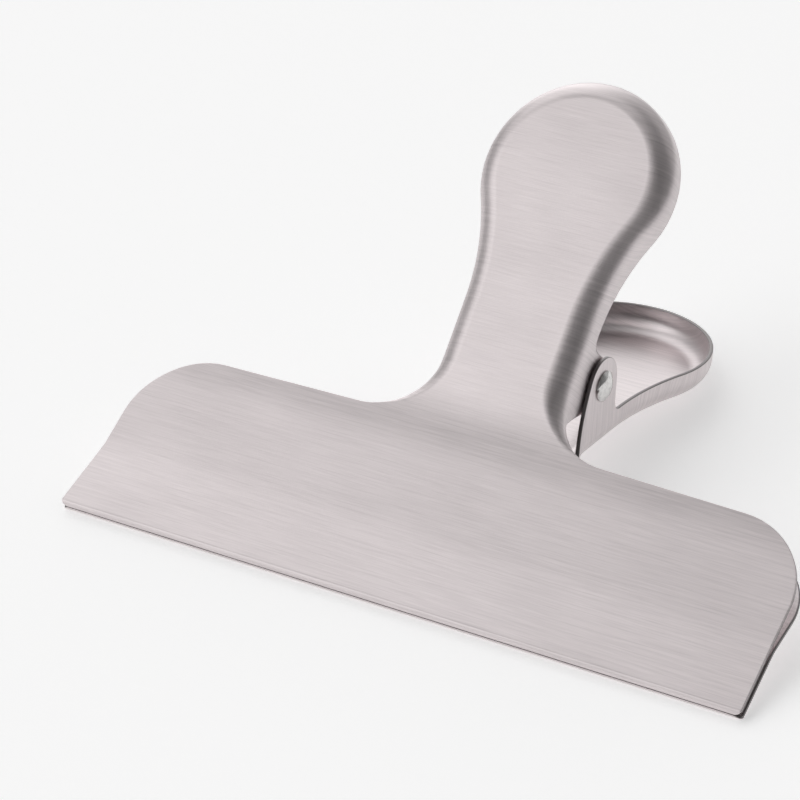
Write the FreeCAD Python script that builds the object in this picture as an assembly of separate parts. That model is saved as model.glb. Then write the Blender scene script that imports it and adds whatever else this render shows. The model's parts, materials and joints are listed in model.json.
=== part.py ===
import FreeCAD, Part
import math
import os

V = FreeCAD.Vector

# Bag clip: two stamped sheet shells turn on one cross pin, and a torsion spring shuts them.
# The clip is drawn about its mid-plane: X is the width, Y runs from the jaw edge to the
# handles, and Z is the distance from the mid-plane. At the end it is tilted to lie on its
# back on Z = 0, on the lower jaw edge and the tip of the lower handle.

# Driving dimensions, in mm and degrees. Distances "along" are measured over the outer face
# of the sheet, from the gripping edge towards the handle's tip.
SHEET = 0.8                  # thickness of the sheet
JAW_HALF = 75.0              # half the width at the gripping edge
CREASE_HALF = 74.1           # half the width at the crease and above it
CREASE_ALONG = 16.2          # where the jaw is creased
CREASE_LENGTH = 4.0          # length of the rounded crease
EDGE_OUT = 1.3               # outer face from the mid-plane at the gripping edge
EDGE_SLOPE = 0.5             # slope of the band between edge and crease
BELLY_SLOPE = 7.8            # slope between the crease and the bend
HANDLE_SLOPE = 26.0          # slope of the handle
BEND_ALONG = 41.1            # middle of the bend between jaw and handle
BEND_LENGTH = 16.0           # length of that bend
LIP_RADIUS = 1.0             # outer radius where the edge turns inward
JAW_GAP = 0.3                # gap left between the two lips
EDGE_CORNER = 2.0            # rounding of the jaw's corners at the gripping edge
SHOULDER_RADIUS = 16.2       # rounding of the jaw's shoulders
SHOULDER_ALONG = 40.7        # where the shoulder's rounding ends
SHOULDER_RISE = 1.1          # the shoulders rise towards the neck at this angle
FILLET_RADIUS = 12.4         # hollow between shoulder and neck
NECK_END_ALONG = 68.0        # end of the straight stretch of the neck
NECK_HALF = 14.5            # half the upper shell's neck
EAR_PLAY = 0.3               # side play between the two pairs of ears
BULB_RADIUS = 20.7           # round end of the handle
BULB_ALONG = 96.9            # centre of that round end
ROLL_RADIUS = 4.6            # outer radius where the handle turns into its flange
FLANGE_DEPTH = 6.6           # depth of the flange below the handle's outer face
PIVOT_Y = 64.4               # pin's axis from the gripping edge, in the mid-plane
UPPER_LUG = 5.0              # radius of the upper ears round the pin
LOWER_LUG = 5.9              # radius of the lower ears round the pin
EAR_HOLLOW = 2.2             # rounding between an ear and the flange
PIN_RADIUS = 1.95
PIN_CLEARANCE = 0.05         # radial clearance of the pin in the ears
HEAD_RADIUS = 3.2
HEAD_EDGE = 0.35             # height of the head's straight edge
HEAD_HEIGHT = 1.45           # height of the dome and its edge
WIRE_RADIUS = 0.9            # spring wire
COIL_RADIUS = 3.7            # mean radius of the spring's coils
COIL_PITCH = 2.0
COIL_TURNS = 6               # full turns; the last part turn comes from the legs
LEG_LENGTH = 24.0
LEG_PLAY = 0.12              # gap between a leg's end and the handle

NECK_HALF_LOWER = NECK_HALF + SHEET + EAR_PLAY
WIDE = 200.0                 # larger than the clip in every direction
MARGIN = 1.0                 # how far a cutting shape runs past what it cuts
CURVE_POINTS = 13            # points of an arc that is laid over the bent sheet

EDGE_ANGLE = math.radians(EDGE_SLOPE)
BEND_START = BEND_ALONG - BEND_LENGTH / 2
SPLIT_ALONG = BEND_ALONG + BEND_LENGTH / 2
BELLY_START = CREASE_ALONG + CREASE_LENGTH / 2

# Stretches of the section over the outer face, as (length, turn in degrees).
SECTION = (
    (CREASE_ALONG - CREASE_LENGTH / 2, 0.0),
    (CREASE_LENGTH, BELLY_SLOPE - EDGE_SLOPE),
    (BEND_START - BELLY_START, 0.0),
    (BEND_LENGTH, HANDLE_SLOPE - BELLY_SLOPE),
    (WIDE, 0.0),
)


def section_state(along):
    """Y, Z and slope in radians of the outer face at a distance along it."""
    y, z, slope = 0.0, EDGE_OUT, EDGE_ANGLE
    left = along
    for length, turn_deg in SECTION:
        run = min(left, length)
        turn = math.radians(turn_deg)
        half = turn * run / length / 2
        chord = run
        if turn:
            chord = 2 * length / turn * math.sin(half)
        y += chord * math.cos(slope + half)
        z += chord * math.sin(slope + half)
        slope += 2 * half
        left -= run
        if left <= 0:
            break
    return y, z, slope


def section_point(along, depth=0.0):
    """Point of the section at a distance along it and a depth below the outer face."""
    y, z, slope = section_state(along)
    return V(0, y + depth * math.sin(slope), z - depth * math.cos(slope))


def line(start, end):
    return Part.LineSegment(start, end).toShape()


def arc(start, middle, end):
    return Part.Arc(start, middle, end).toShape()


def flat_arc(x, y, radius, start_deg, end_deg):
    """Arc in the XY plane round (x, y)."""
    points = []
    for turn in (start_deg, (start_deg + end_deg) / 2, end_deg):
        angle = math.radians(turn)
        points.append(V(x + radius * math.cos(angle), y + radius * math.sin(angle), 0))
    return arc(*points)


def closed_face(edges):
    return Part.Face(Part.Wire(Part.__sortEdges__(edges)))


def with_mirror(edges):
    """The edges and their mirror image across the YZ plane."""
    return edges + [edge.mirror(V(0, 0, 0), V(1, 0, 0)) for edge in edges]


def lip_centre():
    """Centre of the lip's rounding, which touches the gripping edge and the band's outer face."""
    return V(0, LIP_RADIUS, EDGE_OUT + LIP_RADIUS * (math.tan(EDGE_ANGLE) - 1 / math.cos(EDGE_ANGLE)))


def section_side(depth):
    """The section's edges at a depth below the outer face, from the lip to the handle's tip."""
    centre = lip_centre()
    radius = LIP_RADIUS - depth
    lip_turn = math.pi / 2 - EDGE_ANGLE
    bend = []
    for part in (0.0, 0.5, 1.0):
        angle = math.pi - lip_turn * part
        bend.append(centre + V(0, radius * math.cos(angle), radius * math.sin(angle)))
    marks = []
    reached = 0.0
    for length, turn in SECTION[:-1]:
        marks.append((reached, reached + length, turn))
        reached += length
    marks.append((reached, BULB_ALONG + BULB_RADIUS + MARGIN, 0.0))
    edges = [line(V(0, depth, JAW_GAP / 2), bend[0]), arc(*bend)]
    last = bend[2]
    for start, end, turn in marks:
        finish = section_point(end, depth)
        if turn:
            edges.append(arc(last, section_point((start + end) / 2, depth), finish))
        else:
            edges.append(line(last, finish))
        last = finish
    return edges, edges[0].Vertexes[0].Point, last


def ribbon():
    """The bent sheet at its full width, before its outline is cut."""
    outer, outer_start, outer_end = section_side(0.0)
    inner, inner_start, inner_end = section_side(SHEET)
    ends = [line(outer_start, inner_start), line(outer_end, inner_end)]
    face = closed_face(outer + inner + ends)
    face.translate(V(-WIDE / 2, 0, 0))
    return face.extrude(V(WIDE, 0, 0))


def neck_hollow(neck_half):
    """Centre (x, along) of the hollow between shoulder and neck."""
    x = neck_half + FILLET_RADIUS
    rise = math.radians(SHOULDER_RISE)
    reach = CREASE_HALF - SHOULDER_RADIUS - x
    along = SHOULDER_ALONG + reach * math.tan(rise) + FILLET_RADIUS / math.cos(rise)
    return x, along


def plan_curve(x, along, radius, start_deg, end_deg):
    """A developed arc laid over the bent sheet and seen from above."""
    points = []
    for step in range(CURVE_POINTS):
        part = step / (CURVE_POINTS - 1)
        angle = math.radians(start_deg + (end_deg - start_deg) * part)
        y = section_state(along + radius * math.sin(angle))[0]
        points.append(V(x + radius * math.cos(angle), y, 0))
    curve = Part.BSplineCurve()
    curve.interpolate(points)
    return curve.toShape(), points[0], points[-1]


def jaw_outline(neck_half):
    """Plan of the jaw up to just past the start of the handle."""
    x, along = neck_hollow(neck_half)
    past_split = SPLIT_ALONG + MARGIN
    stop = 180 + math.degrees(math.asin((along - past_split) / FILLET_RADIUS))
    hollow, hollow_start, hollow_end = plan_curve(
        x, along, FILLET_RADIUS, 270 - SHOULDER_RISE, stop
    )
    shoulder, shoulder_start, shoulder_end = plan_curve(
        CREASE_HALF - SHOULDER_RADIUS, SHOULDER_ALONG - SHOULDER_RADIUS,
        SHOULDER_RADIUS, 0, 90,
    )
    crease = V(CREASE_HALF, section_state(CREASE_ALONG)[0], 0)
    corner = flat_arc(JAW_HALF - EDGE_CORNER, EDGE_CORNER, EDGE_CORNER, 270, 360)
    corner_start, corner_end = (vertex.Point for vertex in corner.Vertexes)
    half = [
        line(V(0, 0, 0), corner_start),
        corner,
        line(corner_end, crease),
        line(crease, shoulder_start),
        shoulder,
        line(shoulder_end, hollow_start),
        hollow,
        line(hollow_end, V(0, hollow_end.y, 0)),
    ]
    return closed_face(with_mirror(half))


def handle_outline(neck_half, inset, start):
    """Plan of the handle in its own plane, inset from its edge, from a distance start on."""
    x, along = neck_hollow(neck_half)
    y = along - SPLIT_ALONG
    neck_end = NECK_END_ALONG - SPLIT_ALONG
    bulb_y = BULB_ALONG - SPLIT_ALONG
    rise = bulb_y - neck_end
    waist = (neck_half**2 + rise**2 - BULB_RADIUS**2) / (2 * (BULB_RADIUS - neck_half))
    side = math.degrees(math.atan2(rise, neck_half + waist))
    hollow = FILLET_RADIUS + inset
    first = math.degrees(math.asin((y - start) / hollow))
    edges = [
        flat_arc(x, y, hollow, 180 + first, 180),
        line(V(neck_half - inset, y, 0), V(neck_half - inset, neck_end, 0)),
        flat_arc(neck_half + waist, neck_end, waist + inset, 180, 180 - side),
        flat_arc(0, bulb_y, BULB_RADIUS - inset, -side, 90),
    ]
    corner = edges[0].Vertexes[0].Point
    edges.append(line(corner, V(0, start, 0)))
    return closed_face(with_mirror(edges))


def rolled_block(face, top, depth, radius):
    """The outline taken down from a top plane, its upper edge rounded along the outline."""
    face.translate(V(0, 0, top - depth))
    block = face.extrude(V(0, 0, depth))
    start = block.BoundBox.YMin
    rim = []
    for edge in block.Edges:
        box = edge.BoundBox
        on_top = abs(box.ZMin - top) < 1e-6
        on_start = abs(box.YMax - start) < 1e-3
        if on_top and not on_start:
            rim.append(edge)
    return block.makeFillet(radius, rim)


def pivot_in_handle():
    """The pin's axis in the handle's plane: (distance from its start, height)."""
    y, z, slope = section_state(SPLIT_ALONG)
    dy = PIVOT_Y - y
    dz = -z
    along = dy * math.cos(slope) + dz * math.sin(slope)
    height = -dy * math.sin(slope) + dz * math.cos(slope)
    return along, height


def flange_and_ear(lug):
    """Side view of what the flange and the ear leave of the handle's walls."""
    py, pz = pivot_in_handle()
    pivot = V(0, py, pz)
    base = V(0, -MARGIN, -SHEET)
    to_base = math.atan2(base.z - pz, base.y - py)
    away = to_base + math.acos(lug / base.distanceToPoint(pivot))
    touch = V(0, py + lug * math.cos(away), pz + lug * math.sin(away))
    foot = V(0, py, pz - lug)
    front = V(0, py + lug, pz)
    hollow_start = V(0, py + lug, -FLANGE_DEPTH - EAR_HOLLOW)
    hollow_end = V(0, py + lug + EAR_HOLLOW, -FLANGE_DEPTH)
    inward = EAR_HOLLOW * (1 - math.sqrt(0.5))
    hollow_middle = V(0, py + lug + inward, -FLANGE_DEPTH - inward)
    edges = [
        line(V(0, -MARGIN, WIDE), base),
        line(base, touch),
        arc(touch, foot, front),
        line(front, hollow_start),
        arc(hollow_start, hollow_middle, hollow_end),
        line(hollow_end, V(0, WIDE, -FLANGE_DEPTH)),
        line(V(0, WIDE, -FLANGE_DEPTH), V(0, WIDE, WIDE)),
        line(V(0, WIDE, WIDE), V(0, -MARGIN, WIDE)),
    ]
    face = closed_face(edges)
    face.translate(V(-WIDE / 2, 0, 0))
    return face.extrude(V(WIDE, 0, 0))


def place_handle(shape):
    """Move a shape from the handle's plane to the end of the bend."""
    y, z, slope = section_state(SPLIT_ALONG)
    shape.rotate(V(0, 0, 0), V(1, 0, 0), math.degrees(slope))
    shape.translate(V(0, y, z))
    return shape


def handle(neck_half, lug):
    """The handle with its rolled edge, its flange and its two ears."""
    depth = 2 * FLANGE_DEPTH + 2 * lug
    outer = rolled_block(handle_outline(neck_half, 0.0, 0.0), 0.0, depth, ROLL_RADIUS)
    inside = handle_outline(neck_half, SHEET, -MARGIN)
    inner = rolled_block(inside, -SHEET, depth, ROLL_RADIUS - SHEET)
    pan = outer.cut(inner).common(flange_and_ear(lug))
    return place_handle(pan)


def jaw(neck_half):
    """The jaw with its lip, crease, shoulders and bend."""
    plan = jaw_outline(neck_half)
    plan.translate(V(0, 0, -WIDE / 2))
    before_split = Part.makeBox(WIDE, WIDE, WIDE, V(-WIDE / 2, -WIDE, -WIDE / 2))
    return ribbon().common(plan.extrude(V(0, 0, WIDE))).common(place_handle(before_split))


def pin_hole():
    return Part.makeCylinder(
        PIN_RADIUS + PIN_CLEARANCE, WIDE, V(-WIDE / 2, PIVOT_Y, 0), V(1, 0, 0)
    )


def shell(neck_half, lug):
    """One stamped shell, on the upper side of the mid-plane."""
    whole = jaw(neck_half).fuse(handle(neck_half, lug)).removeSplitter()
    return whole.cut(pin_hole())


def pivot_pin():
    """The cross pin with a domed head on each end."""
    seat = NECK_HALF_LOWER
    rim = seat + HEAD_EDGE
    end = seat + HEAD_HEIGHT
    dome = HEAD_HEIGHT - HEAD_EDGE
    ball = (HEAD_RADIUS**2 + dome**2) / (2 * dome)
    middle = math.asin(HEAD_RADIUS / ball) / 2
    crown = V(end - ball + ball * math.cos(middle), ball * math.sin(middle), 0)
    half = [
        line(V(0, PIN_RADIUS, 0), V(seat, PIN_RADIUS, 0)),
        line(V(seat, PIN_RADIUS, 0), V(seat, HEAD_RADIUS, 0)),
        line(V(seat, HEAD_RADIUS, 0), V(rim, HEAD_RADIUS, 0)),
        arc(V(rim, HEAD_RADIUS, 0), crown, V(end, 0, 0)),
        line(V(end, 0, 0), V(0, 0, 0)),
    ]
    pin = closed_face(with_mirror(half)).revolve(V(0, 0, 0), V(1, 0, 0), 360)
    pin.translate(V(0, PIVOT_Y, 0))
    return pin


def leg_angle():
    """Angle in degrees between the mid-plane and a leg that ends on the handle's inner face."""
    reach = -pivot_in_handle()[1] - SHEET - WIRE_RADIUS - LEG_PLAY
    spread = math.hypot(COIL_RADIUS, LEG_LENGTH)
    lean = math.asin(reach / spread) - math.atan2(COIL_RADIUS, LEG_LENGTH)
    return HANDLE_SLOPE + math.degrees(lean)


def torsion_spring():
    """A coil round the pin with two straight legs, wound so that squeezing the handles winds it up."""
    angle = leg_angle()
    turns = COIL_TURNS + (180 - 2 * angle) / 360
    length = COIL_PITCH * turns
    coil = Part.makeHelix(COIL_PITCH, length, COIL_RADIUS)
    coil.rotate(V(0, 0, 0), V(0, 0, 1), 90 + angle)
    coil.rotate(V(0, 0, 0), V(1, 1, 1), 120)
    coil.translate(V(-length / 2, 0, 0))
    spring = sweep_circle(Part.Wire(coil.Edges), WIRE_RADIUS)
    for side in (-1, 1):
        lift = math.radians(angle)
        root = V(side * length / 2, -COIL_RADIUS * math.sin(lift), -side * COIL_RADIUS * math.cos(lift))
        along = V(0, math.cos(lift), -side * math.sin(lift))
        leg = Part.makeCylinder(WIRE_RADIUS, LEG_LENGTH, root, along)
        spring = spring.fuse(leg).fuse(Part.makeSphere(WIRE_RADIUS, root))
    spring.translate(V(0, PIVOT_Y, 0))
    return spring


def sweep_circle(path, radius):
    start = path.OrderedEdges[0]
    point = start.valueAt(start.FirstParameter)
    direction = start.tangentAt(start.FirstParameter)
    ring = Part.Wire([Part.makeCircle(radius, point, direction)])
    return path.makePipeShell([ring], True, True)


def rest_tilt():
    """Tilt in degrees at which the lower lip and the tip of the lower handle's roll share a floor."""
    lip = lip_centre()
    tip = BULB_ALONG + BULB_RADIUS - ROLL_RADIUS
    roll = section_point(tip, ROLL_RADIUS)
    dy = roll.y - lip.y
    dz = roll.z - lip.z
    larger = (ROLL_RADIUS - LIP_RADIUS) / math.hypot(dy, dz)
    return math.degrees(math.atan2(dz, dy) + math.asin(larger))


def main():
    upper = shell(NECK_HALF, UPPER_LUG)
    lower = shell(NECK_HALF_LOWER, LOWER_LUG)
    lower.rotate(V(0, 0, 0), V(0, 1, 0), 180)
    nodes = {
        "upper_shell": upper,
        "lower_shell": lower,
        "pivot_pin": pivot_pin(),
        "torsion_spring": torsion_spring(),
    }
    tilt = rest_tilt()
    for shape in nodes.values():
        shape.rotate(V(0, 0, 0), V(1, 0, 0), tilt)
    box = Part.makeCompound(list(nodes.values())).optimalBoundingBox(False, False)
    shift = V(-box.Center.x, -box.Center.y, -box.ZMin)
    os.makedirs("parts", exist_ok=True)
    for name, shape in nodes.items():
        shape.translate(shift)
        shape.exportStep(f"parts/{name}.step")
        size = shape.BoundBox
        print(
            name, shape.isValid(), len(shape.Solids), round(shape.Volume, 2),
            round(size.XLength, 1), round(size.YLength, 1), round(size.ZLength, 1),
        )
    pivot = V(0, PIVOT_Y * math.cos(math.radians(tilt)), PIVOT_Y * math.sin(math.radians(tilt)))
    pivot = pivot + shift
    print("tilt", round(tilt, 4), "shift", shift, "pivot", pivot)
    print("box", box)


main()
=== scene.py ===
import json
import math
from collections import namedtuple

import bmesh
import bpy
from mathutils import Matrix, Vector


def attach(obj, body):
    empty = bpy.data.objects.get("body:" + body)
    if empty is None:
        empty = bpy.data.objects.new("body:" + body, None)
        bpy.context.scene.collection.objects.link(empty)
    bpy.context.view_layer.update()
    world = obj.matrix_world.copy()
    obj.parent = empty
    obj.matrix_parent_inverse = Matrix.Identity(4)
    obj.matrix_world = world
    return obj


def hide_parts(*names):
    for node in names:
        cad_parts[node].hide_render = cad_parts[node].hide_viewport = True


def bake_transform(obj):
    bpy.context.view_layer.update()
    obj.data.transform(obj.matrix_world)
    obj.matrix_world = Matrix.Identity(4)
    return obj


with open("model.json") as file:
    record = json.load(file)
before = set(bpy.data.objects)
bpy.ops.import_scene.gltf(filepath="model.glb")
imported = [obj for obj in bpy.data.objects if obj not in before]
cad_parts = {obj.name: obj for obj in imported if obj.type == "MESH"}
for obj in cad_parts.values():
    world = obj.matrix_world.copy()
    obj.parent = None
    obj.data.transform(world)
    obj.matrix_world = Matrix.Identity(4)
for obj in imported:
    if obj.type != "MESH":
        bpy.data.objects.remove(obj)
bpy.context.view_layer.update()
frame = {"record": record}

# A bag clip: two stamped steel shells, a riveted cross pin and a torsion spring.
# The shells are worked out as flat sheet, in mm: x across the clip and s along it, from the
# gripping edge to the handle's tip, and depth inwards from the sheet's outer face. The sheet
# is then laid over the clip's bent section.

MM = 0.001
QUARTER = math.pi / 2

# ---- driving dimensions, mm and degrees ------------------------------------------------
SHEET = 0.8                  # thickness of the sheet
JAW_HALF = 75.0              # half the jaw's width at the gripping edge
CREASE_HALF = 74.1           # and at the crease and above it
CREASE_ALONG = 16.2          # middle of the crease
CREASE_LENGTH = 4.0
EDGE_OUT = 1.3               # outer face above the clip's mid-plane, by the gripping edge
EDGE_ANGLE = math.radians(0.5)       # slope of the sheet below the crease
BELLY_ANGLE = math.radians(7.8)      # above the crease
HANDLE_ANGLE = math.radians(26.0)    # and on the handle
BEND_ALONG = 41.1            # middle of the bend between the jaw and the handle
BEND_LENGTH = 16.0
LIP_RADIUS = 1.0             # the gripping edge turns inward
JAW_GAP = 0.3                # between the two shells' lips
SHOULDER_RADIUS = 16.2
SHOULDER_ALONG = 40.7        # the jaw's upper edge leaves the shoulder here
SHOULDER_RISE = 1.1          # and climbs towards the neck at this many degrees
FILLET_RADIUS = 12.4         # hollow between the jaw and the neck
NECK_END = 68.0              # the neck's sides are parallel up to here
NECK_HALF = 14.5             # half the upper shell's neck
EAR_PLAY = 0.3               # between the ears of the two shells
BULB_RADIUS = 20.7           # round end of the handle
BULB_ALONG = 96.9
ROLL_RADIUS = 4.6            # rolled edge above the flange
FLANGE_DEPTH = 6.6
PIVOT_ALONG_PLANE = 64.4     # the pin, measured along the mid-plane
UPPER_LUG = 5.0              # radius of the ears round the pin
LOWER_LUG = 5.9
EAR_HOLLOW = 2.2             # hollow between an ear and the flange
EAR_BASE_HOLLOW = 2.4        # hollow between an ear and the jaw
EDGE_ROUND = 0.15            # rounding of every cut edge of the sheet
PIN_RADIUS = 1.95
PIN_HOLE = 2.0
HEAD_RADIUS = 3.2
HEAD_EDGE = 0.35             # height of the head's rim
HEAD_HEIGHT = 1.45
HEAD_ROUND = 0.12            # rounding of the rim
WIRE_RADIUS = 0.9
COIL_RADIUS = 3.7            # to the middle of the wire
COIL_PITCH = 2.0
COIL_TURNS = 6
LEG_LENGTH = 24.0
LEG_PLAY = 0.12              # between a leg and its handle

NECK_HALF_LOWER = NECK_HALF + SHEET + EAR_PLAY
SPLIT_ALONG = BEND_ALONG + BEND_LENGTH / 2

# The straight band of the jaw starts where the lip's bend ends.
BAND_FROM = LIP_RADIUS * (1 - math.sin(EDGE_ANGLE)) / math.cos(EDGE_ANGLE)
LIP_HEIGHT = EDGE_OUT + LIP_RADIUS * (math.tan(EDGE_ANGLE) - 1 / math.cos(EDGE_ANGLE))
LIP_BEND = LIP_RADIUS * (QUARTER - EDGE_ANGLE)
SHEET_FROM = BAND_FROM - LIP_BEND - (LIP_HEIGHT - JAW_GAP / 2)
EDGE_CORNER = BAND_FROM - SHEET_FROM

SECTION = (
    (CREASE_ALONG - CREASE_LENGTH / 2, 0.0),
    (CREASE_LENGTH, BELLY_ANGLE - EDGE_ANGLE),
    (BEND_ALONG - BEND_LENGTH / 2 - CREASE_ALONG - CREASE_LENGTH / 2, 0.0),
    (BEND_LENGTH, HANDLE_ANGLE - BELLY_ANGLE),
    (200.0, 0.0),
)

# ---- how the rolled edge, the ears and the grids are laid out --------------------------
STRAIGHT_HANDLE = 60.0       # a place past the bend
EAR_FROM = 45.6              # the neck's wall starts here
EAR_BASE = SPLIT_ALONG - 1.0         # the ear's straight edge is aimed at this place
EAR_RUN_OUT = 1.0            # length of flange that the ear's edge takes in
ROLL_FROM = 40.0             # the rolled edge starts here and is full at ROLL_TO
ROLL_TO = 55.5
DROP_FROM = 41.8             # the edge starts to turn down here in the hollow by the neck
HOLLOW_DROP = 2.0            # and hangs this far below the sheet where the wall starts
WALL_FADE = 1.2              # an edge that hangs this far below the sheet is a full wall
INNER_ROLL_LEAST = 0.3       # radius of the inner face where the edge isn't rolled
FIELD_MARGIN = 0.8           # flat strip between the rolled edge and the field's grid
CREASE_TURN = 2.0            # the jaw's side turns over this length at the crease
SIDE_STRAIGHT_TO = 24.0      # rows are evenly spaced from here to the shoulder's middle

CORNER_COLUMNS = 4           # columns in the gripping edge's corner
BAND_ROWS = 8                # rows in that corner
CREASE_ROWS = 6              # rows below the crease, and again in it
BELLY_ROWS = 4
SHOULDER_ROWS = 13
NECK_COLUMNS = 12            # columns in half the neck
COLUMN_WEIGHTS = [0.45] * CORNER_COLUMNS + [0.75] * 3 + [1.0] * 26   # widths, corner to neck
HOLLOW_STATIONS = 24         # stations in each part of the handle's side
NECK_STATIONS = 26
EAR_END_STATIONS = 2
WAIST_STATIONS = 20
BULB_STATIONS = 20
NECK_FADE = 0.45             # share of the neck's rows that follow each end's curve

FLAT_STEPS = 3               # quads in each part of the band round the edge
ROLL_STEPS = 8
WALL_STEPS = 6
EDGE_STEPS = 3
INNER_ROLL_STEPS = 6

# ---- where the clip lies, read from the frame ------------------------------------------
mounts = {mount["name"]: mount for mount in frame["record"]["mounts"]}
grip = mounts["jaw_grip"]
TILT = math.atan2(-grip["axis"][2], -grip["axis"][1])
ORIGIN = Vector(grip["pos_m"])
TO_ROW = Matrix.Translation(ORIGIN) @ Matrix.Rotation(TILT, 4, "X")
TURN_OVER = Matrix.Rotation(math.pi, 4, "Y")


def smooth(t):
    t = min(max(t, 0.0), 1.0)
    return t * t * (3 - 2 * t)


def mix(a, b, t):
    return a + (b - a) * t


# ---- section ---------------------------------------------------------------------------
def section_state(s):
    """Height along the mid-plane, distance from it, and slope of the sheet's outer face."""
    if s < BAND_FROM:
        back = BAND_FROM - s
        slope = EDGE_ANGLE + min(back, LIP_BEND) / LIP_RADIUS
        y = LIP_RADIUS * (1 - math.sin(slope))
        z = LIP_HEIGHT + LIP_RADIUS * math.cos(slope) - max(back - LIP_BEND, 0.0)
        return y, z, slope
    y, z, slope = 0.0, EDGE_OUT, EDGE_ANGLE
    for length, turn in SECTION:
        run = min(s, length)
        half = turn * run / length / 2
        chord = 2 * length / turn * math.sin(half) if turn else run
        y += chord * math.cos(slope + half)
        z += chord * math.sin(slope + half)
        slope += 2 * half
        s -= run
        if s <= 0:
            break
    return y, z, slope


def bent(x, s, depth):
    """A point of the flat sheet, taken to its place on the bent one."""
    y, z, slope = section_state(s)
    return Vector((x, y + depth * math.sin(slope), z - depth * math.cos(slope)))


# ---- outline of the flat sheet, right half ---------------------------------------------
# A station is a point of the outline with its inward normal, the radius of the rolled edge
# there, and the foot that the flange under it reaches: (s, depth, normal of the cut edge).
Station = namedtuple("Station", "x s nx ns roll foot")
Foot = namedtuple("Foot", "s depth ns nd")


def plain(x, s, nx, ns):
    return Station(x, s, nx, ns, EDGE_ROUND, Foot(s, SHEET, 0.0, 1.0))


def mirrored(station):
    return station._replace(x=-station.x, nx=-station.nx)


def on_circle(cx, cs, radius, degrees, inward):
    """Point and inward normal on an arc; inward is -1 where the sheet lies inside the arc."""
    c, s = math.cos(math.radians(degrees)), math.sin(math.radians(degrees))
    return cx + radius * c, cs + radius * s, inward * c, inward * s


def side_half(s):
    return mix(JAW_HALF, CREASE_HALF, min(s / CREASE_ALONG, 1.0))


def spaced(start, end, count):
    """count values after start, evenly spaced, the last of them end."""
    return [mix(start, end, (i + 1) / count) for i in range(count)]


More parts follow.
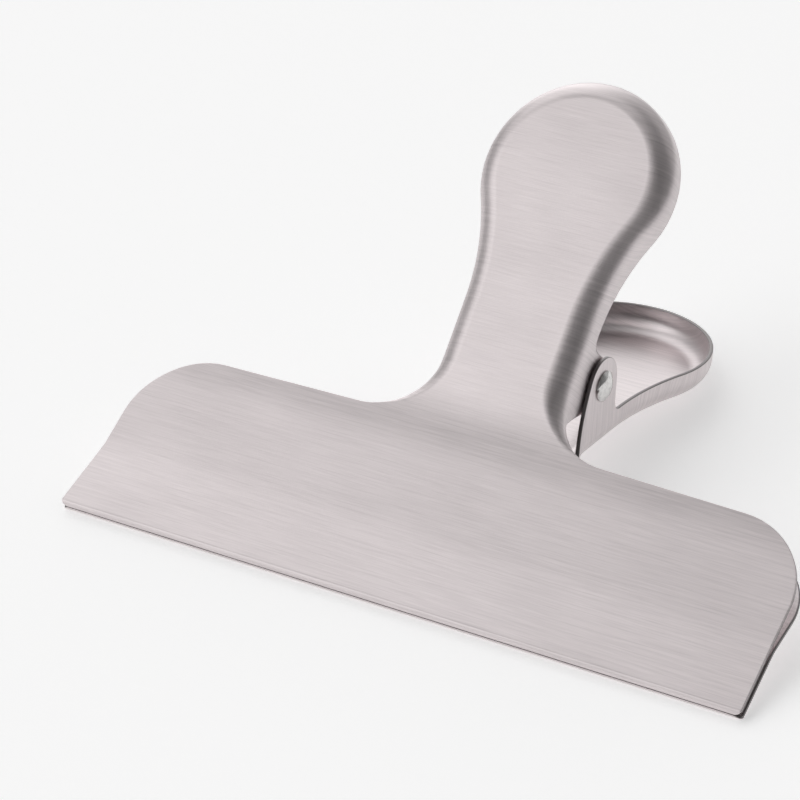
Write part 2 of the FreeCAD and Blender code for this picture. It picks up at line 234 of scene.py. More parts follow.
class Outline:
    """One shell's outline, from the middle of the lip round the right side to the handle's tip."""

    def __init__(self, neck_half, lug):
        self.neck = neck_half
        self.lug = lug
        self.fx = neck_half + FILLET_RADIUS
        rise = math.radians(SHOULDER_RISE)
        reach = CREASE_HALF - SHOULDER_RADIUS - self.fx
        self.fs = SHOULDER_ALONG + reach * math.tan(rise) + FILLET_RADIUS / math.cos(rise)
        climb = BULB_ALONG - NECK_END
        self.waist = (neck_half**2 + climb**2 - BULB_RADIUS**2) / (2 * (BULB_RADIUS - neck_half))
        self.turn = math.degrees(math.atan2(climb, neck_half + self.waist))
        y, z, slope = section_state(STRAIGHT_HANDLE)
        dy, dz = PIVOT_ALONG_PLANE - y, -z
        self.pivot_s = STRAIGHT_HANDLE + dy * math.cos(slope) + dz * math.sin(slope)
        self.pivot_depth = dy * math.sin(slope) - dz * math.cos(slope)
        self.make_ear()

    def neck_at(self, s):
        """Half width and inward normal of the neck at s."""
        if s < self.fs:
            drop = self.fs - s
            run = math.sqrt(FILLET_RADIUS**2 - drop**2)
            return self.fx - run, -run / FILLET_RADIUS, -drop / FILLET_RADIUS
        if s < NECK_END:
            return self.neck, -1.0, 0.0
        climb = s - NECK_END
        run = math.sqrt(self.waist**2 - climb**2)
        return self.neck + self.waist - run, -run / self.waist, climb / self.waist

    def make_ear(self):
        """The lower edge of the neck's wall: a list of points with normals, evenly spaced."""
        pivot = Vector((self.pivot_s, self.pivot_depth))
        base = Vector((EAR_BASE, SHEET + HOLLOW_DROP))
        away = base - pivot
        lean = math.acos(self.lug / away.length)
        touch_dir = Vector((away.x, away.y)).normalized()
        touch_dir.rotate(Matrix.Rotation(-lean, 2))
        touch = pivot + touch_dir * self.lug
        down = (touch - base).normalized()
        bisector = math.acos(max(-1.0, min(1.0, -down.x))) / 2
        run = EAR_BASE_HOLLOW / math.tan(bisector)
        hollow_from = base - Vector((run, 0))
        hollow_to = base + down * run
        hollow_centre = hollow_from + Vector((0, EAR_BASE_HOLLOW))
        points = [Vector((EAR_FROM, SHEET + HOLLOW_DROP))]
        points += arc_points(hollow_centre, hollow_from, hollow_to, 16, 1)
        points += arc_points(pivot, touch, pivot + Vector((self.lug, 0)), 40, -1)
        corner = Vector((self.pivot_s + self.lug, FLANGE_DEPTH + EAR_HOLLOW))
        centre = corner + Vector((EAR_HOLLOW, 0))
        points += arc_points(centre, corner, centre - Vector((0, EAR_HOLLOW)), 12, 1)
        points.append(Vector((centre.x + EAR_RUN_OUT, FLANGE_DEPTH)))
        self.ear_points = points
        self.ear_range = (EAR_FROM, points[-1].x)

    def foot_at(self, fraction):
        """Point and outward normal of the ear's edge at a fraction of its length."""
        lengths = [(b - a).length for a, b in zip(self.ear_points, self.ear_points[1:])]
        left = fraction * sum(lengths)
        for a, b, length in zip(self.ear_points, self.ear_points[1:], lengths):
            if left <= length or b is self.ear_points[-1]:
                way = (b - a) / length
                point = a + way * min(left, length)
                return Foot(point.x, point.y, -way.y, way.x)
            left -= length

    def bottom(self, us):
        """Lip end, from the middle to the corner; us are the columns' places from 0 to 1."""
        cx = side_half(BAND_FROM) - EDGE_CORNER
        stations = []
        straight = us[:-CORNER_COLUMNS]
        for u in straight:
            stations.append(plain(cx * u / straight[-1], SHEET_FROM, 0.0, 1.0))
        for degrees in spaced(-90, -45, CORNER_COLUMNS):
            stations.append(plain(*on_circle(cx, BAND_FROM, EDGE_CORNER, degrees, -1)))
        return stations

    def side(self):
        """From the lip's corner up to the middle of the shoulder's rounding."""
        cx = side_half(BAND_FROM) - EDGE_CORNER
        stations = []
        for degrees in [-45] + spaced(-45, 0, BAND_ROWS):
            stations.append(plain(*on_circle(cx, BAND_FROM, EDGE_CORNER, degrees, -1)))
        lean = math.atan2(JAW_HALF - CREASE_HALF, CREASE_ALONG)
        crease_from = CREASE_ALONG - CREASE_LENGTH / 2
        crease_to = CREASE_ALONG + CREASE_LENGTH / 2
        heights = spaced(BAND_FROM, crease_from, CREASE_ROWS)
        heights += spaced(crease_from, crease_to, CREASE_ROWS)
        heights += spaced(crease_to, SIDE_STRAIGHT_TO, BELLY_ROWS)
        for s in heights:
            tilt = lean * smooth((CREASE_ALONG + CREASE_TURN / 2 - s) / CREASE_TURN)
            stations.append(plain(side_half(s), s, -math.cos(tilt), -math.sin(tilt)))
        straight = SHOULDER_ALONG - SHOULDER_RADIUS - SIDE_STRAIGHT_TO
        length = straight + SHOULDER_RADIUS * math.pi / 4
        for run in spaced(0, length, SHOULDER_ROWS):
            if run < straight:
                stations.append(plain(CREASE_HALF, SIDE_STRAIGHT_TO + run, -1.0, 0.0))
            else:
                degrees = math.degrees((run - straight) / SHOULDER_RADIUS)
                stations.append(plain(*self.on_shoulder(degrees)))
        return stations

    def on_shoulder(self, degrees):
        cx = CREASE_HALF - SHOULDER_RADIUS
        cs = SHOULDER_ALONG - SHOULDER_RADIUS
        return on_circle(cx, cs, SHOULDER_RADIUS, degrees, -1)

    def on_fillet(self, degrees):
        return on_circle(self.fx, self.fs, FILLET_RADIUS, degrees, 1)

    def shoulder(self):
        """From the middle of the shoulder's rounding to the middle of the hollow by the neck."""
        rise = math.radians(SHOULDER_RISE)
        round_length = SHOULDER_RADIUS * math.pi / 4
        start = Vector((CREASE_HALF - SHOULDER_RADIUS, SHOULDER_ALONG))
        end = Vector(self.on_fillet(270 - SHOULDER_RISE)[:2])
        line_length = (end - start).length
        hollow_length = FILLET_RADIUS * (math.pi / 4 - rise)
        scale = (round_length + line_length + hollow_length) / sum(COLUMN_WEIGHTS)
        stations = []
        run = 0.0
        for weight in [0.0] + COLUMN_WEIGHTS:
            run += weight * scale
            if run < round_length:
                degrees = 45 + math.degrees(run / SHOULDER_RADIUS)
                stations.append(plain(*self.on_shoulder(degrees)))
            elif run < round_length + line_length:
                point = start.lerp(end, (run - round_length) / line_length)
                stations.append(plain(point.x, point.y, 0.0, -1.0))
            else:
                past = math.degrees((run - round_length - line_length) / FILLET_RADIUS)
                degrees = 270 - SHOULDER_RISE - past
                stations.append(self.flanged(*self.on_fillet(degrees)))
        return stations

    def flanged(self, x, s, nx, ns):
        """A station whose edge rolls over into the flange."""
        roll = mix(EDGE_ROUND, ROLL_RADIUS, smooth((s - ROLL_FROM) / (ROLL_TO - ROLL_FROM)))
        drop = HOLLOW_DROP * smooth((s - DROP_FROM) / (EAR_FROM - DROP_FROM))
        depth = FLANGE_DEPTH if s > self.ear_range[1] else SHEET + drop
        return self.rolled(Station(x, s, nx, ns, roll, Foot(s, depth, 0.0, 1.0)))

    def rolled(self, station):
        """The station with no more roll than its flange has room for."""
        room = max(EDGE_ROUND, station.foot.depth - SHEET)
        return station._replace(roll=min(station.roll, room))

    def neck_side(self):
        """From the middle of the hollow up the neck and the bulb to 45 degrees on the bulb."""
        waist_x = self.neck + self.waist
        ear_from, ear_to = self.ear_range
        places = [self.on_fillet(degrees) for degrees in [225] + spaced(225, 180, HOLLOW_STATIONS)]
        for s in spaced(self.fs, NECK_END, NECK_STATIONS):
            places.append((self.neck, s, -1.0, 0.0))
        ear_turn = math.degrees(math.asin((ear_to - NECK_END) / self.waist))
        turns = spaced(0, ear_turn, EAR_END_STATIONS) + spaced(ear_turn, self.turn, WAIST_STATIONS)
        for turn in turns:
            places.append(on_circle(waist_x, NECK_END, self.waist, 180 - turn, 1))
        for degrees in spaced(-self.turn, 45, BULB_STATIONS):
            places.append(on_circle(0, BULB_ALONG, BULB_RADIUS, degrees, -1))
        stations = [self.flanged(*place) for place in places]
        ear = [i for i, st in enumerate(stations) if ear_from <= st.s <= ear_to + 1e-6]
        for order, i in enumerate(ear):
            turned = ROLL_RADIUS * smooth((stations[i].s - ROLL_FROM) / (ROLL_TO - ROLL_FROM))
            turned = max(turned, EDGE_ROUND)
            foot = self.foot_at(order / (len(ear) - 1))
            stations[i] = self.rolled(stations[i]._replace(roll=turned, foot=foot))
        return stations

    def cap(self, us):
        """Round end of the bulb, from 45 degrees to its tip."""
        count = len(us) - 1
        return [
            self.flanged(*on_circle(0, BULB_ALONG, BULB_RADIUS, degrees, -1))
            for degrees in [45] + spaced(45, 90, count)
        ]


def arc_points(centre, start, end, count, sense):
    """Points of an arc from start to end; sense 1 turns from s towards depth."""
    a0 = math.atan2(start.y - centre.y, start.x - centre.x)
    a1 = math.atan2(end.y - centre.y, end.x - centre.x)
    turn = (a1 - a0) * sense % (2 * math.pi) * sense
    radius = (start - centre).length
    angles = [a0 + turn * i / count for i in range(count + 1)]
    return [centre + radius * Vector((math.cos(a), math.sin(a))) for a in angles]


def inner_roll(roll):
    """Radius of the sheet's inner face under a rolled edge."""
    return max(roll - SHEET, INNER_ROLL_LEAST)


def roll_length(roll):
    """Place of the roll's lower end on the unrolled sheet, counted inwards from the outline."""
    return roll * (1 - QUARTER)


class ShellMesh:
    """Builds one shell: two grids over the sheet's faces and a closed band round its edge."""

    def __init__(self, outline):
        self.outline = outline
        self.verts = []
        self.flat = []
        self.cut = []
        self.faces = []

    def vertex(self, x, s, depth, u, v, cut=0.0):
        self.verts.append(bent(x, s, depth) * MM)
        self.flat.append((u * MM, v * MM))
        self.cut.append(cut)
        return len(self.verts) - 1

    def quad(self, *ids):
        self.faces.append(ids)

    def grid(self, rows):
        for low, high in zip(rows, rows[1:]):
            for j in range(len(low) - 1):
                self.quad(low[j], low[j + 1], high[j + 1], high[j])

    def field(self, halves, depth, margin):
        """The grid over one face of the sheet; returns the loop of vertices at its border."""
        bottom, side, shoulder, neck, cap = (
            [(st.x + st.nx * margin(st), st.s + st.ns * margin(st)) for st in half]
            for half in halves
        )
        hollow_x, hollow_s = shoulder[-1]
        dip = [hollow_x * (1 - part) for part in spaced(0, 1, NECK_COLUMNS)]
        top = shoulder + [(x, hollow_s - (hollow_x**2 - x**2) / (2 * hollow_x)) for x in dip]
        top.reverse()
        jaw_rows = self.jaw_rows(bottom, side, top, depth)
        self.grid(jaw_rows)
        middle = len(jaw_rows[0]) // 2
        neck_rows = [jaw_rows[-1][middle - NECK_COLUMNS:middle + NECK_COLUMNS + 1]]
        neck_rows += self.neck_rows(top[:NECK_COLUMNS + 1], neck, cap[::-1], depth)
        self.grid(neck_rows)
        return self.border(jaw_rows, neck_rows)

    def jaw_rows(self, bottom, side, top, depth):
        """Rows at the side's stations, bent to the bottom line and the top line near them."""
        corner_x, corner_s = side[-1]
        side_x, side_s = side[0]
        edge_s = bottom[0][1]
        shoulder_from = len(side) - 1 - SHOULDER_ROWS
        rows = []
        for i, (rx, rs) in enumerate(side):
            alpha = 0.0
            if i < BAND_ROWS:
                nominal = mix(edge_s, side[BAND_ROWS][1], i / BAND_ROWS)
                alpha = (rs - nominal) / (side_s - edge_s)
            beta = max(0.0, (i - shoulder_from) / SHOULDER_ROWS)
            half = []
            for (bx, bs), (tx, ts) in zip(bottom, top):
                u = tx / corner_x
                x = u * rx + alpha * (bx - u * side_x) + beta * (tx - u * corner_x)
                s = rs + alpha * (bs - side_s) + beta * (ts - corner_s)
                half.append((x, s))
            rows.append(self.full_row(half, depth))
        return rows

    def neck_rows(self, low_row, neck, high_row, depth):
        """Rows above low_row at the neck's stations, bent to low_row and high_row near them."""
        low_x, low_s = low_row[-1]
        high_x, high_s = high_row[-1]
        neck_from, neck_to = neck[0][1], neck[-1][1]
        rows = []
        for rx, rs in neck[1:]:
            part = (rs - neck_from) / (neck_to - neck_from)
            alpha = 1 - smooth(part / NECK_FADE)
            beta = smooth((part - 1 + NECK_FADE) / NECK_FADE)
            half = []
            for k, ((lx, ls), (hx, hs)) in enumerate(zip(low_row, high_row)):
                u = k / NECK_COLUMNS
                x = u * rx + alpha * (lx - u * low_x) + beta * (hx - u * high_x)
                s = rs + alpha * (ls - low_s) + beta * (hs - high_s)
                half.append((x, s))
            rows.append(self.full_row(half, depth))
        return rows

    def border(self, jaw_rows, neck_rows):
        """The grids' border, from the gripping edge's left end round the right side and back."""
        top = jaw_rows[-1]
        middle = len(top) // 2
        loop = list(jaw_rows[0])
        loop += [row[-1] for row in jaw_rows[1:]]
        loop += reversed(top[middle + NECK_COLUMNS:-1])
        loop += [row[-1] for row in neck_rows[1:]]
        loop += reversed(neck_rows[-1][:-1])
        loop += [row[0] for row in reversed(neck_rows[:-1])]
        loop += reversed(top[:middle - NECK_COLUMNS])
        loop += [row[0] for row in reversed(jaw_rows[1:-1])]
        return loop

    def full_row(self, half, depth):
        """Vertices of a row from its right half, whose first point is in the middle."""
        points = [(-x, s) for x, s in reversed(half[1:])] + half
        return [self.vertex(x, s, depth, x, s) for x, s in points]

    def loop_stations(self, halves):
        bottom, side, shoulder, neck, cap = halves
        right = bottom + side[1:] + shoulder[1:] + neck[1:] + cap[1:]
        left = [mirrored(st) for st in reversed(right[1:-1])]
        loop = right + left
        start = len(bottom) - 1
        return loop[-start:] + loop[:-start]

    def place(self, station, s, inset, depth, length, cut=0.0):
        """A vertex by the edge: inset from the outline at s, at a depth, length along the sheet."""
        x, nx, ns = station.x, station.nx, station.ns
        if s != station.s:
            x, nx, ns = self.outline.neck_at(s)
            if station.x < 0:
                x, nx = -x, -nx
        flat_x, flat_s = x + nx * length, s + ns * length
        return self.vertex(x + nx * inset, s + ns * inset, depth, flat_x, flat_s, cut)

    def band(self, station, outer_id, inner_id):
        """Vertices of the band across the edge at one station, from the outer to the inner field."""
        rise = smooth((station.foot.depth - SHEET) / WALL_FADE)
        ids = [outer_id]
        ids += [self.place(station, *spot) for spot in self.outer_spots(station, 1.0 - rise)]
        reach = SHEET + inner_roll(station.roll) + FIELD_MARGIN
        under = self.inner_spots(station, rise)
        for (s, inset, depth, length, cut), part in zip(under, spaced(0, 1, len(under) + 1)):
            flat_inset = mix(EDGE_ROUND * 2, reach, part)
            s = mix(station.s, s, rise)
            inset = mix(flat_inset, inset, rise)
            depth = mix(SHEET, depth, rise)
            length = mix(flat_inset, length, rise)
            ids.append(self.place(station, s, inset, depth, length, cut))
        ids.append(inner_id)
        return ids

    def wall_end(self, station):
        """Where the wall's faces end above its rounded cut edge: s, depth, length along the sheet."""
        roll, foot = station.roll, station.foot
        end_depth = foot.depth - foot.nd * EDGE_ROUND
        return foot.s - foot.ns * EDGE_ROUND, end_depth, roll_length(roll) - (end_depth - roll)

    def outer_spots(self, station, wall_cut):
        """The rolled edge, the wall's outer face and its cut edge, as arguments of place."""
        roll, foot = station.roll, station.foot
        end_s, end_depth, end_length = self.wall_end(station)
        spots = []
        for inset in spaced(roll + FIELD_MARGIN, roll, FLAT_STEPS):
            spots.append((station.s, inset, 0.0, inset))
        for angle in spaced(0, QUARTER, ROLL_STEPS):
            inset = roll * (1 - math.sin(angle))
            depth = roll * (1 - math.cos(angle))
            spots.append((station.s, inset, depth, roll * (1 - angle)))
        for part in spaced(0, 1, WALL_STEPS):
            depth = mix(roll, end_depth, part)
            length = roll_length(roll) - (depth - roll)
            spots.append((mix(station.s, end_s, part), 0.0, depth, length, wall_cut))
        for angle in spaced(0, QUARTER, EDGE_STEPS):
            out = EDGE_ROUND * math.sin(angle)
            inset = EDGE_ROUND * (1 - math.cos(angle))
            depth = end_depth + foot.nd * out
            spots.append((end_s + foot.ns * out, inset, depth, end_length - out, 1.0))
        return spots

    def inner_spots(self, station, edge_cut):
        """The cut edge, the wall's inner face and the inside of the roll, as arguments of place."""
        roll, foot = station.roll, station.foot
        end_s, end_depth, end_length = self.wall_end(station)
        inner = inner_roll(roll)
        spots = []
        for angle in [0.0] + spaced(0, QUARTER, EDGE_STEPS):
            out = EDGE_ROUND * math.cos(angle)
            inset = SHEET - EDGE_ROUND * (1 - math.sin(angle))
            depth = end_depth + foot.nd * out
            cut = edge_cut if angle < QUARTER else 0.0
            spots.append((end_s + foot.ns * out, inset, depth, end_length - out, cut))
        for part in spaced(1, 0, WALL_STEPS):
            depth = mix(SHEET + inner, end_depth, part)
            length = roll_length(roll) - (depth - roll)
            spots.append((mix(station.s, end_s, part), SHEET, depth, length, 0.0))
        for angle in spaced(0, QUARTER, INNER_ROLL_STEPS):
            inset = SHEET + inner * (1 - math.cos(angle))
            depth = SHEET + inner * (1 - math.sin(angle))
            spots.append((station.s, inset, depth, roll_length(roll) + roll * angle, 0.0))
        for inset in spaced(SHEET + inner, SHEET + inner + FIELD_MARGIN, FLAT_STEPS)[:-1]:
            spots.append((station.s, inset, SHEET, inset, 0.0))
        return spots

    def build(self, name):
        outline = self.outline
        side = outline.side()
        shoulder = outline.shoulder()
        neck = outline.neck_side()
        columns = [st.x / side[-1].x for st in reversed(shoulder)]
        middle = [columns[0] * k / NECK_COLUMNS for k in range(NECK_COLUMNS)]
        bottom = outline.bottom(middle + columns)
        cap = outline.cap(range(NECK_COLUMNS + 1))
        halves = (bottom, side, shoulder, neck, cap)
        outer = self.field(halves, 0.0, lambda st: st.roll + FIELD_MARGIN)
        inner = self.field(halves, SHEET, lambda st: SHEET + inner_roll(st.roll) + FIELD_MARGIN)
        stations = self.loop_stations(halves)
        bands = [self.band(*row) for row in zip(stations, outer, inner)]
        for here, there in zip(bands, bands[1:] + bands[:1]):
            for k in range(len(here) - 1):
                self.quad(here[k], here[k + 1], there[k + 1], there[k])
        mesh = bpy.data.meshes.new(name)
        mesh.from_pydata([tuple(v) for v in self.verts], [], self.faces)
        # The cut edges are marked here for the painted shade that the steel puts on them.
        mesh.attributes.new("edge_shade_mask", "FLOAT", "POINT").data.foreach_set("value", self.cut)
        uv = mesh.uv_layers.new(name="sheet")
        for loop in mesh.loops:
            uv.data[loop.index].uv = self.flat[loop.vertex_index]
        work = bmesh.new()
        work.from_mesh(mesh)
        bmesh.ops.recalc_face_normals(work, faces=work.faces)
        work.to_mesh(mesh)
        work.free()
        return mesh


def drilled(mesh):
    """The mesh with the pin's hole cut through it."""
    host = new_object("host", mesh)
    bpy.ops.mesh.primitive_cylinder_add(
        vertices=72, radius=PIN_HOLE * MM, depth=0.1,
        location=(0, PIVOT_ALONG_PLANE * MM, 0), rotation=(0, QUARTER, 0),
    )
    drill = bpy.context.object
    cut = host.modifiers.new("hole", "BOOLEAN")
    cut.operation = "DIFFERENCE"
    cut.solver = "EXACT"
    cut.object = drill
    depsgraph = bpy.context.evaluated_depsgraph_get()
    result = bpy.data.meshes.new_from_object(host.evaluated_get(depsgraph))
    bpy.data.objects.remove(host)
    bpy.data.objects.remove(drill)
    return result


def new_object(name, mesh):
    obj = bpy.data.objects.new(name, mesh)
    bpy.context.scene.collection.objects.link(obj)
    return obj


def finish_mesh(mesh, matrix, sharp_degrees=38):
    mesh.transform(matrix)
    mesh.shade_smooth()
    mesh.set_sharp_from_angle(angle=math.radians(sharp_degrees))


def make_shell(name, neck_half, lug, matrix):
    mesh = drilled(ShellMesh(Outline(neck_half, lug)).build(name))
    finish_mesh(mesh, matrix)
    mesh.name = name
    return new_object(name, mesh)


# ---- pin -------------------------------------------------------------------------------
def lathe(name, profile, segments=72):
    """A closed body turned about X from (x, radius) points."""
    mesh = bpy.data.meshes.new(name)
    work = bmesh.new()
    rings = []
    for x, radius in profile:
        ring = []
        if radius < 1e-6:
            ring = [work.verts.new((x * MM, 0, 0))]
        else:
            for k in range(segments):
                a = 2 * math.pi * k / segments
                place = Vector((x, radius * math.cos(a), radius * math.sin(a)))
                ring.append(work.verts.new(place * MM))
        rings.append(ring)
    for a, b in zip(rings, rings[1:]):
        for k in range(segments):
            n = (k + 1) % segments
            if len(a) == 1:
                work.faces.new((a[0], b[n], b[k]))
            elif len(b) == 1:
                work.faces.new((a[k], a[n], b[0]))
            else:
                work.faces.new((a[k], a[n], b[n], b[k]))
    bmesh.ops.recalc_face_normals(work, faces=work.faces)
    work.to_mesh(mesh)
    work.free()
    return mesh


def head_profile():
    """Right-hand head of the pin, from its seat on the ear to the crown."""
    seat = NECK_HALF_LOWER
    dome = HEAD_HEIGHT - HEAD_EDGE
    ball = (HEAD_RADIUS**2 + dome**2) / (2 * dome)
    top = seat + HEAD_HEIGHT
    full = math.asin(HEAD_RADIUS / ball)
    points = [(seat, PIN_RADIUS), (seat, HEAD_RADIUS - HEAD_ROUND)]
    points += [(seat + 0.04, HEAD_RADIUS - 0.03), (seat + HEAD_ROUND, HEAD_RADIUS)]
    points.append((seat + HEAD_EDGE - 0.1, HEAD_RADIUS))
    points.append((seat + HEAD_EDGE, HEAD_RADIUS - 0.04))
    for k in range(1, 11):
        angle = full * 0.97 * (1 - k / 10)
        points.append((top - ball + ball * math.cos(angle), ball * math.sin(angle)))
    return points


def make_pin(name, matrix):
    right = head_profile()
    left = [(-x, r) for x, r in reversed(right)]
    mesh = lathe(name, left + right)
    finish_mesh(mesh, matrix @ Matrix.Translation((0, PIVOT_ALONG_PLANE * MM, 0)), 50)
    return new_object(name, mesh)


# ---- spring ----------------------------------------------------------------------------
def leg_angle(outline):
    """Angle of a leg to the mid-plane, where it lies against the handle's inner face."""
    reach = outline.pivot_depth - SHEET - WIRE_RADIUS - LEG_PLAY
    spread = math.hypot(COIL_RADIUS, LEG_LENGTH)
    lean = math.asin(reach / spread) - math.atan2(COIL_RADIUS, LEG_LENGTH)
    return HANDLE_ANGLE + lean


def spring_path(outline):
    """Centre line of the wire: upper leg, coil, lower leg."""
    angle = leg_angle(outline)
    turns = COIL_TURNS + (math.pi - 2 * angle) / (2 * math.pi)
    length = COIL_PITCH * turns
    upper_way = Vector((0, math.cos(angle), math.sin(angle)))
    lower_way = Vector((0, math.cos(angle), -math.sin(angle)))
    start = QUARTER + angle
    coil = []
    steps = int(turns * 40)
    for k in range(steps + 1):
        part = k / steps
        a = start + part * turns * 2 * math.pi
        x = mix(-length / 2, length / 2, part)
        coil.append(Vector((x, COIL_RADIUS * math.cos(a), COIL_RADIUS * math.sin(a))))
    points = [coil[0] + upper_way * LEG_LENGTH * (1 - k / 16) for k in range(16)]
    points += coil
    points += [coil[-1] + lower_way * LEG_LENGTH * (k + 1) / 16 for k in range(16)]
    return points, length


def tube(name, points, radius, segments=20):
    """A round wire along points, with rounded ends."""
    mesh = bpy.data.meshes.new(name)
    work = bmesh.new()
    flat = {}
    side = Vector((1, 0, 0))
    rings = []
    run = 0.0
    last = len(points) - 1
    spots = []
    for i, point in enumerate(points):
        way = (points[min(i + 1, last)] - points[max(i - 1, 0)]).normalized()
        if i:
            run += (point - points[i - 1]).length
        spots.append((point, way, radius, run))
    first_way, last_way = spots[0][1], spots[-1][1]
    spots[0] = (points[0] + first_way * radius * 0.3, first_way, radius, 0.0)
    spots[-1] = (points[-1] - last_way * radius * 0.3, last_way, radius, run)
    head = [
        (points[0], first_way, radius * 0.6, 0.0),
        (points[0] + first_way * radius * 0.1, first_way, radius * 0.85, 0.0),
    ]
    tail = [
        (points[-1] - last_way * radius * 0.1, last_way, radius * 0.85, run),
        (points[-1], last_way, radius * 0.6, run),
    ]
    for point, way, r, at in head + spots + tail:
        side = (side - way * side.dot(way)).normalized()
        up = way.cross(side)
        ring = []
        for k in range(segments):
            a = 2 * math.pi * k / segments
            vert = work.verts.new((point + (side * math.cos(a) + up * math.sin(a)) * r) * MM)
            flat[vert] = (at * MM, k / segments * 2 * math.pi * radius * MM)
            ring.append(vert)
        rings.append(ring)
    uv = work.loops.layers.uv.new("sheet")
    for a, b in zip(rings, rings[1:]):
        for k in range(segments):
            n = (k + 1) % segments
            work.faces.new((a[k], a[n], b[n], b[k]))
    for ring in (rings[0], rings[-1]):
        work.faces.new(ring)
    for face in work.faces:
        for loop in face.loops:
            loop[uv].uv = flat[loop.vert]
    bmesh.ops.recalc_face_normals(work, faces=work.faces)
    work.to_mesh(mesh)
    work.free()
    return mesh


def make_spring(name, matrix):
    points, length = spring_path(Outline(NECK_HALF, UPPER_LUG))
    mesh = tube(name, points, WIRE_RADIUS)
    finish_mesh(mesh, matrix @ Matrix.Translation((0, PIVOT_ALONG_PLANE * MM, 0)), 50)
    return new_object(name, mesh), length


# ---- materials -------------------------------------------------------------------------
class Nodes:
    """A node tree, with short ways to add nodes. A value is a number, or a socket to link."""

    def __init__(self, tree):
        self.tree = tree

    def set(self, socket, value):
        if isinstance(value, bpy.types.NodeSocket):
            self.tree.links.new(value, socket)
        else:
            socket.default_value = value

    def add(self, kind, **values):
        """A node with its settings and its inputs, named with _ for each space."""
        node = self.tree.nodes.new(kind)
        for key, value in values.items():
            if hasattr(node, key):
                setattr(node, key, value)
            else:
                self.set(node.inputs[key.replace("_", " ")], value)
        return node

    def math(self, operation, *values):
        node = self.add("ShaderNodeMath", operation=operation)
        for socket, value in zip(node.inputs, values):
            self.set(socket, value)
        return node.outputs["Value"]

    def slope(self, value, start, end, low, high):
        """low where value is below start, high where it is above end, and smooth between."""
        node = self.add(
            "ShaderNodeMapRange", interpolation_type="SMOOTHSTEP", Value=value,
            From_Min=start, From_Max=end, To_Min=low, To_Max=high,
        )
        return node.outputs["Result"]

    def ramp(self, value, stops):
        """A colour for value, from stops of a position with a grey or a colour."""
        node = self.add("ShaderNodeValToRGB", Fac=value)
        elements = node.color_ramp.elements
        while len(elements) < len(stops):
            elements.new(0.5)
        for element, (position, colour) in zip(elements, stops):
            element.position = position
            element.color = colour if isinstance(colour, tuple) else (colour, colour, colour, 1)
        return node.outputs["Color"]

    def noise(self, vector, scale, detail, rough):
        """Noise stretched by a scale along each axis."""
        mapping = self.add("ShaderNodeMapping", Vector=vector, Scale=scale)
        node = self.add(
            "ShaderNodeTexNoise", Vector=mapping.outputs["Vector"],
            Scale=1.0, Detail=detail, Roughness=rough,
        )
        return node.outputs["Fac"]

    def bump(self, height, strength, distance):
        node = self.add("ShaderNodeBump", Height=height, Strength=strength, Distance=distance)
        return node.outputs["Normal"]


class Surface(Nodes):
    """A material that is one principled shader."""

    def __init__(self, name):
        self.material = bpy.data.materials.new(name)
        self.material.use_nodes = True
        super().__init__(self.material.node_tree)
        self.tree.nodes.clear()

    def finished(self, **values):
        shader = self.add("ShaderNodeBsdfPrincipled", **values)
        self.add("ShaderNodeOutputMaterial", Surface=shader.outputs["BSDF"])
        return self.material


def brushed_steel():
    """Stainless sheet brushed across the clip, along the jaw's long edge, with painted shade on its
    cut edges.
    """
    nodes = Surface("brushed_steel")
    sheet = nodes.add("ShaderNodeUVMap", uv_map="sheet").outputs["UV"]
    fine = nodes.noise(sheet, (90.0, 9000.0, 1.0), 4.0, 0.7)
    coarse = nodes.noise(sheet, (60.0, 1700.0, 1.0), 3.0, 0.6)
    cloud = nodes.noise(sheet, (40.0, 60.0, 1.0), 2.0, 0.5)
    grain = nodes.math("MULTIPLY", nodes.math("ADD", fine, coarse), 0.5)
    colour = nodes.ramp(grain, [
        (0.32, (0.56, 0.515, 0.52, 1)), (0.50, (0.69, 0.635, 0.64, 1)), (0.68, (0.81, 0.745, 0.75, 1)),
    ])
    # Painted shade: the cut edges get a dark grey that stands in for the shadow and dark reflection
    # along the sheet's edges.
    cut = nodes.add("ShaderNodeAttribute", attribute_name="edge_shade_mask").outputs["Fac"]
    edge_shade_mix = nodes.add("ShaderNodeMix", data_type="RGBA", Factor=cut)
    nodes.set(edge_shade_mix.inputs[6], colour)
    nodes.set(edge_shade_mix.inputs[7], (0.22, 0.205, 0.205, 1))
    gloss = nodes.math("MULTIPLY_ADD", coarse, 0.16, 0.24)
    tangent = nodes.add("ShaderNodeTangent", direction_type="UV_MAP", uv_map="sheet")
    return nodes.finished(
        Base_Color=edge_shade_mix.outputs[2],
        Roughness=nodes.math("MULTIPLY_ADD", cloud, 0.08, gloss),
        Normal=nodes.bump(grain, 0.25, 0.00002),
        Tangent=tangent.outputs["Tangent"],
        Metallic=1.0,
        Anisotropic=0.6,
    )


def rivet_steel():
    """Polished steel with faint marks from the riveting tool."""
    nodes = Surface("rivet_steel")
    where = nodes.add("ShaderNodeTexCoord").outputs["Object"]
    marks = nodes.noise(where, (900.0, 900.0, 900.0), 4.0, 0.6)
    return nodes.finished(
        Base_Color=nodes.ramp(marks, [(0.3, (0.55, 0.54, 0.53, 1)), (0.6, (0.74, 0.73, 0.72, 1))]),
        Roughness=nodes.ramp(marks, [(0.3, 0.20), (0.7, 0.10)]),
        Normal=nodes.bump(marks, 0.1, 0.00001),
        Metallic=1.0,
    )


def spring_steel():
    """Drawn wire, with fine lines along it."""
    nodes = Surface("spring_steel")
    wire = nodes.add("ShaderNodeUVMap", uv_map="sheet").outputs["UV"]
    drawn = nodes.noise(wire, (120.0, 4000.0, 1.0), 3.0, 0.6)
    return nodes.finished(
        Base_Color=nodes.ramp(drawn, [(0.3, (0.36, 0.36, 0.37, 1)), (0.7, (0.60, 0.60, 0.61, 1))]),
        Roughness=nodes.ramp(drawn, [(0.3, 0.40), (0.7, 0.26)]),
        Normal=nodes.bump(drawn, 0.2, 0.00002),
        Metallic=1.0,
    )


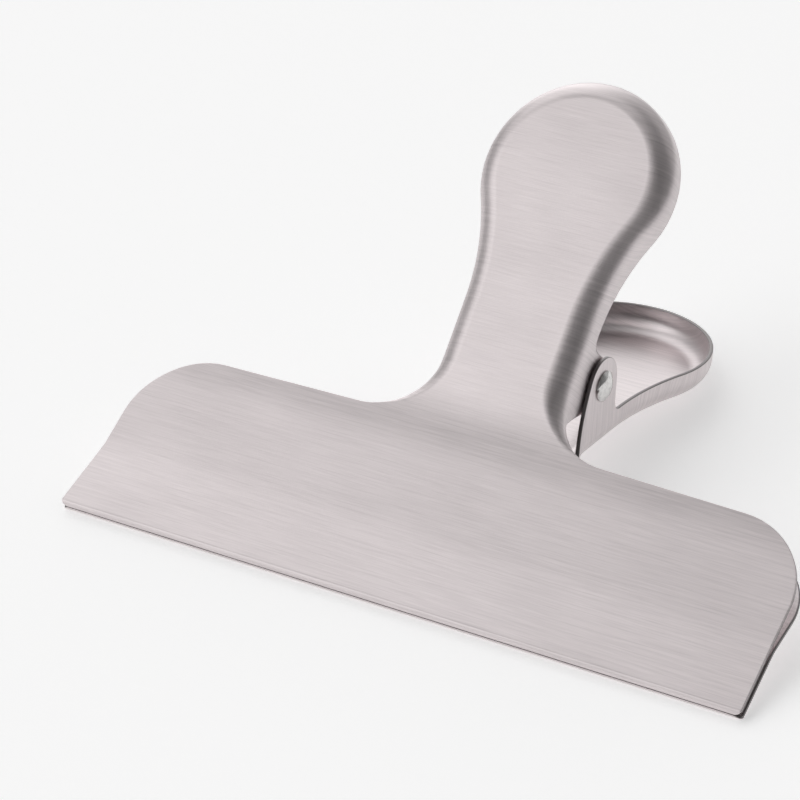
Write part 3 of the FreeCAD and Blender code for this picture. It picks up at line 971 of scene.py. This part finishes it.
# ---- camera, floor and light -----------------------------------------------------------
CAMERA_PLACE = Vector((0.2839, -0.5233, 0.3866))
CAMERA_TARGET = Vector((-0.0186, -0.0193, 0.0204))
CAMERA_ROLL = math.radians(-1.84)
CAMERA_LENS = 156.9
FLOOR_HALF = 3.0
KEY_PLACE = Vector((-0.75, -0.95, 1.2))
KEY_SIZE = 0.9
KEY_POWER = 0.9


def make_camera():
    data = bpy.data.cameras.new("camera")
    data.lens = CAMERA_LENS
    data.clip_start = 0.05
    data.clip_end = 20.0
    camera = new_object("camera", data)
    turn = (CAMERA_PLACE - CAMERA_TARGET).to_track_quat("Z", "Y").to_matrix().to_4x4()
    roll = Matrix.Rotation(CAMERA_ROLL, 4, "Z")
    camera.matrix_world = Matrix.Translation(CAMERA_PLACE) @ turn @ roll
    bpy.context.scene.camera = camera


def make_floor():
    """Pale paper, which glows a little so that it stays light in the studio's dark half."""
    mesh = bpy.data.meshes.new("floor")
    corners = [(-1, -1), (1, -1), (1, 1), (-1, 1)]
    mesh.from_pydata([(x * FLOOR_HALF, y * FLOOR_HALF, 0) for x, y in corners], [], [(0, 1, 2, 3)])
    floor = new_object("floor", mesh)
    paper = Surface("floor_paper").finished(
        Base_Color=(0.93, 0.93, 0.93, 1),
        Roughness=0.9,
        Specular_IOR_Level=0.1,
        Emission_Color=(1, 1, 1, 1),
        Emission_Strength=0.4,
    )
    floor.data.materials.append(paper)


def make_key():
    data = bpy.data.lights.new("key", "AREA")
    data.shape = "RECTANGLE"
    data.size = data.size_y = KEY_SIZE
    data.energy = KEY_POWER
    light = new_object("key", data)
    light.location = KEY_PLACE
    light.rotation_euler = KEY_PLACE.to_track_quat("Z", "Y").to_euler()


def make_studio():
    """Surroundings for the steel to mirror: a bright panel on the left with a soft gap across
    it and a fading far end, a dark right-hand side, and some light from behind."""
    world = bpy.data.worlds.new("studio")
    bpy.context.scene.world = world
    world.use_nodes = True
    nodes = Nodes(world.node_tree)
    direction = nodes.add("ShaderNodeTexCoord").outputs["Generated"]
    apart = nodes.add("ShaderNodeSeparateXYZ", Vector=direction)
    x, y = apart.outputs["X"], apart.outputs["Y"]
    panel = nodes.slope(x, -0.55, -0.02, 1.42, 0.20)
    from_gap = nodes.math("ABSOLUTE", nodes.math("ADD", y, 0.24))
    gap = nodes.slope(from_gap, 0.0, 0.22, 0.55, 1.0)
    far_end = nodes.slope(x, -0.95, -0.62, 0.30, 1.0)
    behind = nodes.slope(y, 0.30, 0.80, 0.0, 0.25)
    left = nodes.math("MULTIPLY", nodes.math("MULTIPLY", panel, gap), far_end)
    background = nodes.tree.nodes["Background"]
    nodes.set(background.inputs["Color"], (1, 1, 1, 1))
    nodes.set(background.inputs["Strength"], nodes.math("ADD", left, behind))


# ---- assembly --------------------------------------------------------------------------
bpy.context.scene.view_settings.view_transform = "Standard"
make_camera()
make_floor()
make_key()
make_studio()

steel = brushed_steel()
upper = make_shell("upper_shell_sheet", NECK_HALF, UPPER_LUG, TO_ROW)
lower = make_shell("lower_shell_sheet", NECK_HALF_LOWER, LOWER_LUG, TO_ROW @ TURN_OVER)
pin = make_pin("pivot_rivet", TO_ROW)
spring, coil_length = make_spring("torsion_spring_wire", TO_ROW)

for piece, node, slot, material in (
    (upper, "upper_shell", "shell_steel", steel),
    (lower, "lower_shell", "shell_steel", steel),
    (pin, "pivot_pin", "pin_steel", rivet_steel()),
    (spring, "torsion_spring", "spring_wire", spring_steel()),
):
    piece.data.materials.clear()
    piece.data.materials.append(material)
    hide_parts(node)

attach(upper, "upper_half")
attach(lower, "lower_half")
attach(pin, "lower_half")
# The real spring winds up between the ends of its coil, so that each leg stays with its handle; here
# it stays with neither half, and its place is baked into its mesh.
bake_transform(spring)
